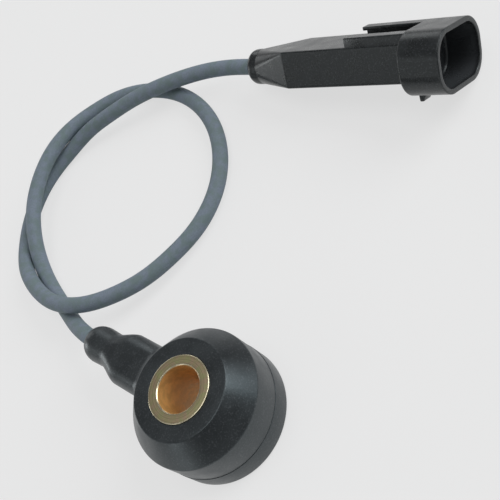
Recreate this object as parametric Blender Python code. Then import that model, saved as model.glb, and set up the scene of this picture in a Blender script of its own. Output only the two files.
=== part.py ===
"""Engine knock sensor: a ring-shaped sensor head, its cable and the plug on the cable's end.

Metres, +Z up. The seat of the head lies on z = 0 and the bore stands along +Z. The neck
points along +Y, and the origin is the middle of the head and neck, seen from above.
"""

from math import cos, pi, radians, sin

import bmesh
import bpy
import numpy as np
from mathutils import Euler, Matrix, Vector

MM = 0.001

# Clearances
GAP = 0.3 * MM              # between touching pieces
CABLE_FIT = 0.3 * MM        # radial, cable in the neck's and the plug's hole

# Head housing, a plastic moulding with the neck
HEAD_D = 28.0 * MM          # lower band, below the parting step
STEP_IN = 0.15 * MM         # the wall above the parting step lies this much further in
FACE_SHARE = 0.72           # flat front face, of the head's width
HEAD_H = 17.3 * MM          # front face above the seat
BEVEL_H = 5.2 * MM          # height of the sloping shoulder
STEP_Z = 5.3 * MM           # parting step above the seat
STEP_GROOVE = 0.15 * MM
FACE_EDGE = 0.4 * MM        # rounding of the face's edge
SHOULDER_EDGE = 0.8 * MM    # rounding below the shoulder
FOOT_EDGE = 0.7 * MM        # rounding at the seat
ROOF_T = 2.2 * MM           # wall over the nut

# Brass sleeve that the bolt goes through
SLEEVE_D = 13.4 * MM
BORE_D = 9.2 * MM
BORE_CHAMFER = 0.4 * MM
SLEEVE_PROUD = 0.2 * MM     # above the front face
SEAT_PROUD = 0.3 * MM       # flange below the plastic
FLANGE_SHARE = 0.82         # flange on the seat, of the head's width
FLANGE_T = 2.5 * MM
RIM_EDGE = 0.3 * MM         # broken edge of the sleeve's rim

# Stack on the sleeve, from the flange up
STACK_SHARE = 0.73          # width of the rings, of the head's width
TUBE_T = 0.5 * MM           # insulating tube round the sleeve
INSULATOR_T = 0.5 * MM
CONTACT_T = 0.5 * MM
PIEZO_SHARE = 0.46          # of the height left for the piezo ring and the mass
SPRING_T = 0.7 * MM
SPRING_CONE = 0.5 * MM      # rise of the disc spring
SPRING_IN = 1.0 * MM        # the disc spring's edge lies this far inside the rings' edge
NUT_IN = 0.9 * MM
NUT_T = 1.5 * MM
NUT_EDGE = 0.4 * MM
NUT_NOTCHES = 4
NOTCH_W = 2.4 * MM
NOTCH_SHARE = 0.48          # depth of a notch, of the nut's wall

# Neck that the cable leaves through
NECK_REACH = 33.6 * MM      # its end from the bore's axis
NECK_SHARE = 0.503          # its axis above the seat, of the head's height
BLOCK_W = 11.3 * MM
BLOCK_SHARE = 0.474         # the block's height, of the head's height
BLOCK_CORNER = 3.6 * MM
BLOCK_END = 21.5 * MM       # the block's end from the bore's axis
BOOT_START = 26.8 * MM      # the round boot's start from the bore's axis
WAIST_R = 3.85 * MM         # boot where the block runs into it
BOOT_R = 4.0 * MM
BOOT_DOME = 3.4 * MM        # length of the rounded end
ROOT_FLARE = 1.6 * MM       # widening where the neck meets the head
ROOT_RUN = 1.9 * MM         # length of that widening
ROOT_SINK = 3.0 * MM        # the neck's form starts this far inside the head
CHANNEL_W = 7.4 * MM        # room for the joints of the wires
CHANNEL_H = 4.4 * MM
WELL_W = 6.6 * MM           # room for the contact tabs
WELL_ROOM = 0.8 * MM        # the well ends this far behind the risers
CUT_OVERLAP = 1.0 * MM      # how far a cutter runs past the face that it cuts

# Contact tabs and wire joints
TAB_X = 1.9 * MM            # half the spacing of the tabs
TAB_W = 1.4 * MM
TAB_STEP = 1.0 * MM         # the tabs turn up this far outside the rings
TAB_RUN = 4.2 * MM          # from the riser to the tab's end
TAB_ROOT = 1.5 * MM         # the tab overlaps its ring by this
CRIMP_L = 3.4 * MM
CRIMP_D = 2.9 * MM
CRIMP_WALL = 0.35 * MM
CRIMP_GRIP = 1.2 * MM       # the splice covers the tab's end by this
WIRE_D = 1.3 * MM
WIRE_X = 0.85 * MM          # half the spacing of the wires in the cable
JACKET_IN_NECK = 12.0 * MM  # cable inside the neck

# Cable
CABLE_D = 3.7 * MM
CABLE_POINTS = 80
# Route from the neck's end, in millimetres: across, away from the head, above the seat.
# It passes under itself, winds once round and over itself, and ends at the plug.
ROUTE = (
    (0.0, 0.0, 8.7), (0.6, 8.0, 6.5), (1.6, 14.8, 3.4), (3.7, 22.0, 2.2), (6.7, 29.6, 2.2),
    (10.9, 35.8, 3.6), (16.1, 40.8, 5.2), (22.3, 45.1, 6.1), (29.3, 47.9, 6.5),
    (36.7, 49.2, 6.3), (44.1, 49.0, 5.0), (50.8, 46.8, 3.4), (56.5, 42.5, 2.5),
    (61.1, 33.7, 2.1), (62.1, 21.7, 2.0), (58.8, 11.2, 2.0), (52.1, 2.7, 2.0),
    (42.4, -2.8, 2.0), (31.6, -3.9, 2.5), (24.1, -2.3, 3.3), (17.1, 0.3, 4.4),
    (10.9, 4.3, 5.8), (5.9, 9.6, 7.0), (3.1, 16.4, 7.4), (3.0, 23.7, 6.7),
    (4.5, 31.0, 5.5), (7.3, 37.7, 3.9), (12.1, 43.2, 2.7), (18.1, 47.4, 2.1),
    (24.9, 49.6, 2.0), (32.0, 49.8, 2.0), (38.9, 47.9, 2.3), (45.3, 44.2, 3.6),
    (50.6, 39.1, 4.9), (55.8, 33.5, 5.8), (60.5, 27.6, 6.2), (65.0, 21.4, 6.0),
    (69.0, 14.6, 5.5), (71.4, 8.0, 5.2),
)
PLUG_END = (72.4, 2.1, 5.6)  # the plug's cable end, as the route's points

# Plug, a plastic moulding. Its own X runs from the cable end to the mouth.
PLUG_L = 51.6 * MM
PLUG_HEADING = -78.4        # degrees from +X
PLUG_TILT = 4.5             # mouth end up
PLUG_ROLL = -39.5
RING_R = 4.0 * MM           # rounded end round the cable
RING_L = 2.4 * MM
STEM_R = 3.9 * MM           # the cone towards the body starts at this radius
STEM_L = 3.0 * MM
BODY_W = 12.1 * MM
BODY_H = 8.7 * MM
BODY_CORNER = 1.3 * MM
BODY_LIFT = 0.2 * MM        # the body's middle lies this far above the plug's axis
BODY_START = 12.7 * MM      # full width from here
TAPER_STEPS = 3
SHROUD_L = 9.0 * MM
SHROUD_W = 18.7 * MM
SHROUD_H = 13.1 * MM
SHROUD_CORNER = 5.4 * MM
SHROUD_WALL = 1.1 * MM
SHROUD_EDGE = 0.5 * MM
SHROUD_FLOOR = 1.6 * MM     # wall behind the wide part of the mouth
POCKET_W = 9.4 * MM         # narrow part of the mouth
POCKET_H = 5.4 * MM
POCKET_CORNER = 1.2 * MM
POCKET_L = 9.0 * MM
CARRIER_L = 8.0 * MM
CARRIER_SLOT_FIT = 0.3 * MM
CHAMBER_W = 8.0 * MM
CHAMBER_H = 4.4 * MM
CHAMBER_CORNER = 0.6 * MM
CHAMBER_L = 8.4 * MM
BLADE_X = 2.4 * MM          # half the spacing of the two blades
BLADE_W = 1.5 * MM
BLADE_T = 0.7 * MM
BLADE_OUT = 8.0 * MM        # blade beyond its carrier
BLADE_POINT = 0.8 * MM      # length of the pointed tip
BARREL_D = 2.7 * MM
BARREL_L = 4.6 * MM
BARREL_WALL = 0.4 * MM
BARREL_GRIP = 2.6 * MM      # length of the open barrel
WEB_OVERLAP = 0.6 * MM      # the web runs this far into the barrel and into the blade
WIRE_IN_BARREL = 1.6 * MM

# Rails on the plug's upper side, and the catch on its lower side
RAIL_L = 13.6 * MM
RAIL_OUT = 5.9 * MM         # outer face from the plug's axis
RAIL_WALL = 1.3 * MM
RAIL_TOP = 6.3 * MM         # above the plug's axis
RAIL_LIP = 3.2 * MM         # the lip's edge from the plug's axis
RAIL_LIP_T = 0.8 * MM
RAIL_SINK = 0.2 * MM        # the rails' feet run this far below the body's rounded edge
RAIL_HOOK = 1.2 * MM        # the far rail's lip runs this far past its wall
CATCH_W = 5.0 * MM
CATCH_H = 2.0 * MM
CATCH_L = 2.6 * MM
CATCH_TIP = 0.8 * MM
CATCH_BACK = 0.1 * MM       # from the shroud's rear face to the catch

TURN_STEPS = 64
INNER_STEPS = 40            # for the pieces inside the head
CORNER_STEPS = 6
WIRE_POINTS = 9

# Values that follow from the ones above
BORE_Y = (HEAD_D / 2 - NECK_REACH) / 2
WAIST_D = HEAD_D - 2 * STEP_IN
FACE_D = FACE_SHARE * HEAD_D
FLANGE_D = FLANGE_SHARE * HEAD_D
STACK_D = STACK_SHARE * HEAD_D
SPRING_D = STACK_D - 2 * SPRING_IN
NUT_D = STACK_D - 2 * NUT_IN
SLEEVE_R = SLEEVE_D / 2
TUBE_R = SLEEVE_R + GAP + TUBE_T
STACK_IN = TUBE_R + GAP
ROOF_Z = HEAD_H - ROOF_T
THIN_PIECES = 2 * INSULATOR_T + 2 * CONTACT_T + SPRING_T + SPRING_CONE + NUT_T
STACK_GAPS = 9              # one below each of the eight pieces, and one over the nut
STACK_ROOM = ROOF_Z - FLANGE_T - THIN_PIECES - STACK_GAPS * GAP
PIEZO_T = PIEZO_SHARE * STACK_ROOM
MASS_T = STACK_ROOM - PIEZO_T
LOWER_INSULATOR_Z = FLANGE_T + GAP
LOWER_CONTACT_Z = LOWER_INSULATOR_Z + INSULATOR_T + GAP
PIEZO_Z = LOWER_CONTACT_Z + CONTACT_T + GAP
UPPER_CONTACT_Z = PIEZO_Z + PIEZO_T + GAP
UPPER_INSULATOR_Z = UPPER_CONTACT_Z + CONTACT_T + GAP
MASS_Z = UPPER_INSULATOR_Z + INSULATOR_T + GAP
SPRING_Z = MASS_Z + MASS_T + GAP
NUT_Z = SPRING_Z + SPRING_T + SPRING_CONE + GAP
NECK_Z = NECK_SHARE * HEAD_H
BLOCK_H = BLOCK_SHARE * HEAD_H
TAB_RISER = STACK_D / 2 + TAB_STEP    # from the bore's axis
TAB_END = TAB_RISER + TAB_RUN
WELL_REACH = TAB_RISER + WELL_ROOM
CRIMP_START = TAB_END - CRIMP_GRIP
CHAMBER_START = PLUG_L - SHROUD_L + SHROUD_FLOOR - POCKET_L - CARRIER_L - CHAMBER_L
CARRIER_START = CHAMBER_START + CHAMBER_L
POCKET_START = CARRIER_START + CARRIER_L
JACKET_IN_PLUG = CHAMBER_START - GAP  # the cable stops at the chamber


def material(name, colour, roughness, metallic=0.0):
    """A plain Principled material."""
    mat = bpy.data.materials.new(name)
    mat.use_nodes = True
    shader = mat.node_tree.nodes["Principled BSDF"]
    shader.inputs["Base Color"].default_value = (*colour, 1.0)
    shader.inputs["Roughness"].default_value = roughness
    shader.inputs["Metallic"].default_value = metallic
    return mat


def add_object(name, data, mat, parent=None, smooth_angle=None):
    """Link an object for this data, with its material, under its parent."""
    obj = bpy.data.objects.new(name, data)
    bpy.context.scene.collection.objects.link(obj)
    if mat:
        data.materials.append(mat)
    if smooth_angle is not None:
        data.shade_smooth()
        data.set_sharp_from_angle(angle=radians(smooth_angle))
    obj.parent = parent
    return obj


def mesh_from_rings(name, rings, closed=False):
    """A closed mesh through rings of equal point counts. A closed run joins its last ring to its first."""
    mesh = bpy.data.meshes.new(name)
    bm = bmesh.new()
    loops = [[bm.verts.new(point) for point in ring] for ring in rings]
    count = len(loops[0])
    pairs = list(zip(loops, loops[1:] + loops[:1])) if closed else list(zip(loops, loops[1:]))
    for low, high in pairs:
        for i in range(count):
            j = (i + 1) % count
            bm.faces.new((low[i], low[j], high[j], high[i]))
    if not closed:
        bm.faces.new(loops[0][::-1])
        bm.faces.new(loops[-1])
    bmesh.ops.recalc_face_normals(bm, faces=bm.faces)
    bm.to_mesh(mesh)
    bm.free()
    return mesh


def turned(name, profile, mat, parent, steps=TURN_STEPS):
    """Turn a closed profile of (radius, height) points about Z."""
    rings = []
    for k in range(steps):
        angle = 2 * pi * k / steps
        rings.append([(r * cos(angle), r * sin(angle), z) for r, z in profile])
    return add_object(name, mesh_from_rings(name, rings, closed=True), mat, parent, smooth_angle=30)


def arc(centre, radius, start, end, steps=4):
    """Points on an arc, in degrees, for a profile."""
    angles = np.radians(np.linspace(start, end, steps + 1))
    return [(centre[0] + radius * cos(a), centre[1] + radius * sin(a)) for a in angles]


def box(name, low, high, mat=None, parent=None):
    """An upright box between two corners."""
    rings = []
    for z in (low[2], high[2]):
        rings.append([(low[0], low[1], z), (high[0], low[1], z), (high[0], high[1], z), (low[0], high[1], z)])
    return add_object(name, mesh_from_rings(name, rings), mat, parent)


def prism(name, outline, axis, start, end, mat=None, parent=None):
    """An outline carried along X or Y. Its points are the other two coordinates in order."""
    def place(at, p):
        return (at, p[0], p[1]) if axis == "X" else (p[0], at, p[1])
    rings = [[place(at, p) for p in outline] for at in (start, end)]
    return add_object(name, mesh_from_rings(name, rings), mat, parent)


def rounded_outline(half_w, half_h, corner):
    """A rectangle with round corners, as (across, up) points. A corner of half its size gives a circle."""
    corner = min(corner, half_w, half_h)
    points = []
    for quarter, (sx, sy) in enumerate(((1, 1), (-1, 1), (-1, -1), (1, -1))):
        centre = (sx * (half_w - corner), sy * (half_h - corner))
        points += arc(centre, corner, 90 * quarter, 90 * quarter + 90, CORNER_STEPS)
    return points


def cutter(obj):
    """Mark an object as a guide that only cuts or joins."""
    obj.hide_render = True
    obj.display_type = "WIRE"
    return obj


def boolean(obj, other, operation):
    """Cut or join one object with another by an exact Boolean."""
    mod = obj.modifiers.new(operation.title(), "BOOLEAN")
    mod.operation = operation
    mod.solver = "EXACT"
    mod.object = cutter(other)


def tube_curve(name, points, radius, mat, resolution=2, parent=None):
    """A round solid along points: a poly curve with a bevel and filled caps."""
    curve = bpy.data.curves.new(name, "CURVE")
    curve.dimensions = "3D"
    curve.bevel_depth = radius
    curve.bevel_resolution = resolution
    curve.use_fill_caps = True
    spline = curve.splines.new("POLY")
    spline.points.add(len(points) - 1)
    for item, point in zip(spline.points, points):
        item.co = (*point, 1.0)
    return add_object(name, curve, mat, parent)


def smooth_curve(points, count):
    """Evenly spaced points on the natural cubic spline through the given points."""
    pts = np.array(points, float)
    t = np.r_[0.0, np.cumsum(np.linalg.norm(np.diff(pts, axis=0), axis=1))]
    h = np.diff(t)
    n = len(t)
    system = np.eye(n)
    rhs = np.zeros((n, 3))
    for i in range(1, n - 1):
        system[i, i - 1:i + 2] = h[i - 1], 2 * (h[i - 1] + h[i]), h[i]
        rhs[i] = 6 * ((pts[i + 1] - pts[i]) / h[i] - (pts[i] - pts[i - 1]) / h[i - 1])
    bend = np.linalg.solve(system, rhs)
    u = np.linspace(0.0, t[-1], 20 * count)
    i = np.clip(np.searchsorted(t, u) - 1, 0, n - 2)
    a = ((t[i + 1] - u) / h[i])[:, None]
    b = 1.0 - a
    bulge = ((a**3 - a) * bend[i] + (b**3 - b) * bend[i + 1]) * (h[i]**2)[:, None] / 6
    dense = a * pts[i] + b * pts[i + 1] + bulge
    run = np.r_[0.0, np.cumsum(np.linalg.norm(np.diff(dense, axis=0), axis=1))]
    even = np.linspace(0.0, run[-1], count)
    return np.column_stack([np.interp(even, run, dense[:, k]) for k in range(3)])


def eased_run(start, end):
    """Points (along, across) of a wire that steps sideways in an even S."""
    points = []
    for share in np.linspace(0.0, 1.0, WIRE_POINTS):
        ease = share * share * (3 - 2 * share)
        points.append((start[0] + (end[0] - start[0]) * share, start[1] + (end[1] - start[1]) * ease))
    return points


def ring_profile(inner, outer, z, thickness):
    """A plain flat ring."""
    return [(inner, z), (outer, z), (outer, z + thickness), (inner, z + thickness)]


def head_housing(mat, parent):
    """The moulded head with its neck, open inside for the stack, the tabs and the cable."""
    band = HEAD_D / 2
    waist = WAIST_D / 2
    face = FACE_D / 2
    hole = SLEEVE_R + GAP
    stack = STACK_D / 2 + GAP
    nut = NUT_D / 2 + GAP
    slope = np.degrees(np.arctan2(waist - face, BEVEL_H))
    shoulder_z = HEAD_H - BEVEL_H
    profile = [(hole, HEAD_H)]
    profile += arc((face - FACE_EDGE, HEAD_H - FACE_EDGE), FACE_EDGE, 90, 90 - slope, 3)
    profile += arc((waist - SHOULDER_EDGE, shoulder_z - SHOULDER_EDGE / 2), SHOULDER_EDGE, 90 - slope, 0, 3)
    profile += [(waist, STEP_Z + STEP_GROOVE), (waist - STEP_GROOVE, STEP_Z + STEP_GROOVE / 2),
                (waist - STEP_GROOVE, STEP_Z), (band, STEP_Z - STEP_GROOVE / 2)]
    profile += arc((band - FOOT_EDGE, SEAT_PROUD + FOOT_EDGE), FOOT_EDGE, 0, -90, 4)
    flange = FLANGE_D / 2 + GAP
    profile += [(flange, SEAT_PROUD), (flange, FLANGE_T + GAP), (stack, FLANGE_T + GAP), (stack, SPRING_Z),
                (nut, SPRING_Z + GAP), (nut, ROOF_Z), (hole, ROOF_Z)]
    housing = turned("sensor_housing", profile, mat, parent)
    boolean(housing, neck_form(parent), "UNION")
    well = box("tab_well", (-WELL_W / 2, STACK_D / 2 - GAP, LOWER_CONTACT_Z - GAP),
               (WELL_W / 2, WELL_REACH, NECK_Z + CHANNEL_H / 2), parent=parent)
    boolean(housing, well, "DIFFERENCE")
    cable_end = NECK_REACH - JACKET_IN_NECK
    channel = box("wire_channel", (-CHANNEL_W / 2, WELL_REACH - CUT_OVERLAP, NECK_Z - CHANNEL_H / 2),
                  (CHANNEL_W / 2, cable_end - GAP, NECK_Z + CHANNEL_H / 2), parent=parent)
    boolean(housing, channel, "DIFFERENCE")
    hole_outline = rounded_outline(CABLE_D / 2 + CABLE_FIT, CABLE_D / 2 + CABLE_FIT, CABLE_D)
    raised = [(x, z + NECK_Z) for x, z in hole_outline]
    cable_hole = prism("neck_cable_hole", raised, "Y", cable_end - CUT_OVERLAP, NECK_REACH + CUT_OVERLAP,
                       parent=parent)
    boolean(housing, cable_hole, "DIFFERENCE")
    return housing


def neck_form(parent):
    """The neck: a round-cornered block that narrows into a round boot with a domed end."""
    wall = HEAD_D / 2
    block = (BLOCK_W / 2, BLOCK_H / 2, BLOCK_CORNER)
    sections = [(wall - ROOT_SINK, block[0] + ROOT_FLARE, block[1] + ROOT_FLARE / 2, BLOCK_CORNER)]
    for share in (0.6, 0.25, 0.0):
        reach = wall - ROOT_RUN / 2 + (1 - share) * ROOT_RUN
        flare = ROOT_FLARE * share**2
        sections.append((reach, block[0] + flare, block[1] + flare / 2, BLOCK_CORNER))
    sections.append((BLOCK_END, *block))
    for share in (0.15, 0.4, 0.65, 0.88, 1.0):
        ease = share * share * (3 - 2 * share) * 0.5 + share * 0.5
        half_w = block[0] + (WAIST_R - block[0]) * ease
        half_h = block[1] + (WAIST_R - block[1]) * ease
        corner = BLOCK_CORNER + (WAIST_R - BLOCK_CORNER) * ease
        sections.append((BLOCK_END + (BOOT_START - BLOCK_END) * share, half_w, half_h, corner))
    dome_start = NECK_REACH - BOOT_DOME
    sections.append(((BOOT_START + dome_start) / 2, BOOT_R, BOOT_R, BOOT_R))
    hole = CABLE_D / 2 + CABLE_FIT
    for angle in (0, 25, 45, 62, 78, 90):
        r = hole + (BOOT_R - hole) * cos(radians(angle))
        sections.append((dome_start + BOOT_DOME * sin(radians(angle)), r, r, r))
    rings = []
    for y, half_w, half_h, corner in sections:
        rings.append([(x, y, NECK_Z + z) for x, z in rounded_outline(half_w, half_h, corner)])
    return add_object("neck_form", mesh_from_rings("neck_form", rings), None, parent)


def sleeve(mat, parent):
    """The flanged sleeve, its bore chamfered at both ends."""
    bore = BORE_D / 2
    top = HEAD_H + SLEEVE_PROUD
    profile = [(bore, BORE_CHAMFER), (bore + BORE_CHAMFER, 0.0), (FLANGE_D / 2 - RIM_EDGE, 0.0),
               (FLANGE_D / 2, RIM_EDGE), (FLANGE_D / 2, FLANGE_T), (SLEEVE_R, FLANGE_T),
               (SLEEVE_R, top - RIM_EDGE), (SLEEVE_R - RIM_EDGE, top), (bore + BORE_CHAMFER, top),
               (bore, top - BORE_CHAMFER)]
    return turned("base_sleeve", profile, mat, parent)


def contact_plate(name, z, side, mat, parent):
    """A contact ring with a tab that runs out, up and along the neck to its wire."""
    plate = turned(name, ring_profile(STACK_IN, STACK_D / 2, z, CONTACT_T), mat, parent, INNER_STEPS)
    tab_top = NECK_Z + CONTACT_T / 2
    root = STACK_D / 2 - TAB_ROOT
    bend = TAB_RISER + CONTACT_T
    under = tab_top - CONTACT_T
    outline = [(root, z), (bend, z), (bend, under), (TAB_END, under), (TAB_END, tab_top),
               (TAB_RISER, tab_top), (TAB_RISER, z + CONTACT_T), (root, z + CONTACT_T)]
    centre = side * TAB_X
    rings = [[(x, y, h) for y, h in outline] for x in (centre - TAB_W / 2, centre + TAB_W / 2)]
    tab = add_object(name + "_tab_form", mesh_from_rings(name + "_tab_form", rings), None, parent)
    boolean(plate, tab, "UNION")
    return plate


def disc_spring(mat, parent):
    """A coned disc spring under the nut."""
    inner = SLEEVE_R + GAP
    outer = SPRING_D / 2
    profile = [(inner, SPRING_Z + SPRING_CONE), (outer, SPRING_Z), (outer, SPRING_Z + SPRING_T),
               (inner, SPRING_Z + SPRING_CONE + SPRING_T)]
    return turned("disc_spring", profile, mat, parent, INNER_STEPS)


def ring_nut(mat, parent):
    """The ring nut that clamps the stack, with notches for its key."""
    inner = SLEEVE_R + GAP
    outer = NUT_D / 2
    profile = [(inner, NUT_Z), (outer - NUT_EDGE, NUT_Z), (outer, NUT_Z + NUT_EDGE),
               (outer, NUT_Z + NUT_T - NUT_EDGE), (outer - NUT_EDGE, NUT_Z + NUT_T), (inner, NUT_Z + NUT_T)]
    nut = turned("ring_nut", profile, mat, parent, INNER_STEPS)
    floor = outer - NOTCH_SHARE * (outer - inner)
    for k in range(NUT_NOTCHES):
        notch = box("nut_notch_%d" % (k + 1), (floor, -NOTCH_W / 2, NUT_Z - CUT_OVERLAP),
                    (outer + CUT_OVERLAP, NOTCH_W / 2, NUT_Z + NUT_T + CUT_OVERLAP), parent=parent)
        notch.rotation_euler = Euler((0, 0, 2 * pi * (k + 0.5) / NUT_NOTCHES))
        boolean(nut, notch, "DIFFERENCE")
    return nut


def head_stack(mats, parent):
    """The pieces that the sleeve carries, from the flange to the nut."""
    tube_profile = ring_profile(SLEEVE_R + GAP, TUBE_R, LOWER_INSULATOR_Z, SPRING_Z - GAP - LOWER_INSULATOR_Z)
    turned("insulating_tube", tube_profile, mats["film"], parent, INNER_STEPS)
    flat_ring = ring_profile(STACK_IN, STACK_D / 2, LOWER_INSULATOR_Z, INSULATOR_T)
    turned("lower_insulator", flat_ring, mats["film"], parent, INNER_STEPS)
    contact_plate("lower_contact", LOWER_CONTACT_Z, -1, mats["contact"], parent)
    flat_ring = ring_profile(STACK_IN, STACK_D / 2, PIEZO_Z, PIEZO_T)
    turned("piezo_ring", flat_ring, mats["ceramic"], parent, INNER_STEPS)
    contact_plate("upper_contact", UPPER_CONTACT_Z, 1, mats["contact"], parent)
    flat_ring = ring_profile(STACK_IN, STACK_D / 2, UPPER_INSULATOR_Z, INSULATOR_T)
    turned("upper_insulator", flat_ring, mats["film"], parent, INNER_STEPS)
    flat_ring = ring_profile(STACK_IN, STACK_D / 2, MASS_Z, MASS_T)
    turned("seismic_mass", flat_ring, mats["steel"], parent, INNER_STEPS)
    disc_spring(mats["steel"], parent)
    ring_nut(mats["steel"], parent)


def neck_wiring(mats, parent):
    """Two crimped splices in the neck, and the cable's two wires behind them."""
    jacket_end = NECK_REACH - JACKET_IN_NECK
    outer = rounded_outline(CRIMP_D / 2, CRIMP_D / 2, CRIMP_D)
    inner = rounded_outline(CRIMP_D / 2 - CRIMP_WALL, CRIMP_D / 2 - CRIMP_WALL, CRIMP_D)
    for name, side in (("ground", -1), ("signal", 1)):
        centre = side * TAB_X
        rings = [[(centre + x, y, NECK_Z + z) for x, z in outline]
                 for outline, y in ((outer, CRIMP_START), (outer, CRIMP_START + CRIMP_L),
                                    (inner, CRIMP_START + CRIMP_L), (inner, CRIMP_START))]
        splice = mesh_from_rings(name + "_splice", rings, closed=True)
        add_object(name + "_splice", splice, mats["contact"], parent, smooth_angle=30)
        eased = eased_run((TAB_END + GAP, centre), (jacket_end - GAP, side * WIRE_X))
        points = [(across, along, NECK_Z) for along, across in eased]
        tube_curve(name + "_wire_head_end", points, WIRE_D / 2, mats[name], parent=parent)


def plug_ring(x, half_w, half_h, corner, lift=0.0):
    """One ring of the plug at a distance from its cable end."""
    return [(x, y, z + lift) for y, z in rounded_outline(half_w, half_h, corner)]


def plug_housing(mat, parent):
    """The plug's moulding: ring, stem, body and shroud outside, stepped mouth and cable hole inside."""
    hole = CABLE_D / 2 + CABLE_FIT
    mouth = PLUG_L
    step = PLUG_L - SHROUD_L
    rings = []
    for angle in (90, 65, 40, 20, 0):
        r = hole + (RING_R - hole) * cos(radians(angle))
        rings.append(plug_ring(RING_L * 0.6 * (1 - sin(radians(angle))), r, r, r))
    rings.append(plug_ring(RING_L, RING_R, RING_R, RING_R))
    rings.append(plug_ring(RING_L + GAP, STEM_R, STEM_R, STEM_R))
    rings.append(plug_ring(STEM_L, STEM_R, STEM_R, STEM_R))
    stem = np.array((STEM_L, STEM_R, STEM_R, STEM_R, 0.0))
    body = np.array((BODY_START, BODY_W / 2, BODY_H / 2, BODY_CORNER, BODY_LIFT))
    for k in range(TAPER_STEPS):
        rings.append(plug_ring(*(stem + (body - stem) * (k + 1) / TAPER_STEPS)))
    shroud = (SHROUD_W / 2, SHROUD_H / 2, SHROUD_CORNER)
    eased = tuple(value - SHROUD_EDGE for value in shroud)
    opening = tuple(value - SHROUD_WALL for value in shroud)
    rings.append(plug_ring(step, *body[1:]))
    rings.append(plug_ring(step, *eased))
    rings.append(plug_ring(step + SHROUD_EDGE, *shroud))
    lip = 0.4 * SHROUD_EDGE
    rings.append(plug_ring(mouth - lip, *shroud))
    rings.append(plug_ring(mouth, *[value - lip for value in shroud]))
    rings.append(plug_ring(mouth, *[value + lip for value in opening]))
    rings.append(plug_ring(mouth - lip, *opening))
    pocket = (POCKET_W / 2, POCKET_H / 2, POCKET_CORNER)
    rings.append(plug_ring(step + SHROUD_FLOOR, *opening))
    rings.append(plug_ring(step + SHROUD_FLOOR, *pocket))
    rings.append(plug_ring(CARRIER_START, *pocket))
    chamber = (CHAMBER_W / 2, CHAMBER_H / 2, CHAMBER_CORNER)
    rings.append(plug_ring(CARRIER_START, *chamber))
    rings.append(plug_ring(CHAMBER_START, *chamber))
    rings.append(plug_ring(CHAMBER_START, hole, hole, hole))
    housing = add_object("plug_housing", mesh_from_rings("plug_housing", rings, closed=True), mat, parent,
                         smooth_angle=30)
    for side, name in ((-1, "near_rail_form"), (1, "far_rail_form")):
        boolean(housing, rail_form(name, side, parent), "UNION")
    boolean(housing, hook_form(parent), "UNION")
    boolean(housing, catch_form(parent), "UNION")
    return housing


def rail_form(name, side, parent):
    """One L-shaped rail: a wall up from the body's edge, with a lip towards the middle."""
    foot = BODY_LIFT + BODY_H / 2 - BODY_CORNER - RAIL_SINK
    bend = RAIL_OUT - RAIL_WALL
    under = RAIL_TOP - RAIL_LIP_T
    outline = [(side * RAIL_OUT, foot), (side * RAIL_OUT, RAIL_TOP), (side * RAIL_LIP, RAIL_TOP),
               (side * RAIL_LIP, under), (side * bend, under), (side * bend, foot)]
    if side < 0:
        outline.reverse()
    step = PLUG_L - SHROUD_L
    return prism(name, outline, "X", step - RAIL_L, step + SHROUD_FLOOR / 2, parent=parent)


def hook_form(parent):
    """The far rail's lip where it runs on past the rail's wall, towards the cable."""
    under = RAIL_TOP - RAIL_LIP_T
    outline = [(RAIL_LIP, under), (RAIL_OUT, under), (RAIL_OUT, RAIL_TOP), (RAIL_LIP, RAIL_TOP)]
    wall_start = PLUG_L - SHROUD_L - RAIL_L
    return prism("far_hook_form", outline, "X", wall_start - RAIL_HOOK, wall_start + CUT_OVERLAP,
                 parent=parent)


def catch_form(parent):
    """The catch below the shroud: a ramp towards the mouth with a steep back."""
    rear = PLUG_L - SHROUD_L + CATCH_BACK
    base = SHROUD_H / 2 - SHROUD_WALL / 2
    tip = SHROUD_H / 2 + CATCH_H
    side_view = [(rear, -base), (rear, -tip), (rear + CATCH_TIP, -tip), (rear + CATCH_L, -base)]
    rings = [[(x, y, z) for x, z in side_view] for y in (-CATCH_W / 2, CATCH_W / 2)]
    return add_object("catch_form", mesh_from_rings("catch_form", rings), None, parent)


def plug_inside(mats, parent):
    """The carrier, its two blade terminals with crimp barrels, and the wires' ends."""
    fit = CARRIER_SLOT_FIT
    start = CARRIER_START + GAP
    end = POCKET_START
    outline = rounded_outline(POCKET_W / 2 - GAP, POCKET_H / 2 - GAP, POCKET_CORNER - GAP)
    rings = [[(x, y, z) for y, z in outline] for x in (start, end)]
    carrier_mesh = mesh_from_rings("terminal_carrier", rings)
    carrier = add_object("terminal_carrier", carrier_mesh, mats["carrier"], parent)
    barrel_start = CARRIER_START - GAP - BARREL_L
    for name, side in (("ground", -1), ("signal", 1)):
        centre = side * BLADE_X
        slot = box(name + "_slot", (start - CUT_OVERLAP, centre - BLADE_W / 2 - fit, -BLADE_T / 2 - fit),
                   (end + CUT_OVERLAP, centre + BLADE_W / 2 + fit, BLADE_T / 2 + fit), parent=parent)
        boolean(carrier, slot, "DIFFERENCE")
        blade_terminal(name + "_terminal", centre, barrel_start, end + BLADE_OUT, mats["terminal"], parent)
        eased = eased_run((JACKET_IN_PLUG + GAP, side * WIRE_X), (barrel_start + WIRE_IN_BARREL, centre))
        points = [(along, across, 0.0) for along, across in eased]
        tube_curve(name + "_wire_plug_end", points, WIRE_D / 2, mats[name], parent=parent)


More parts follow.
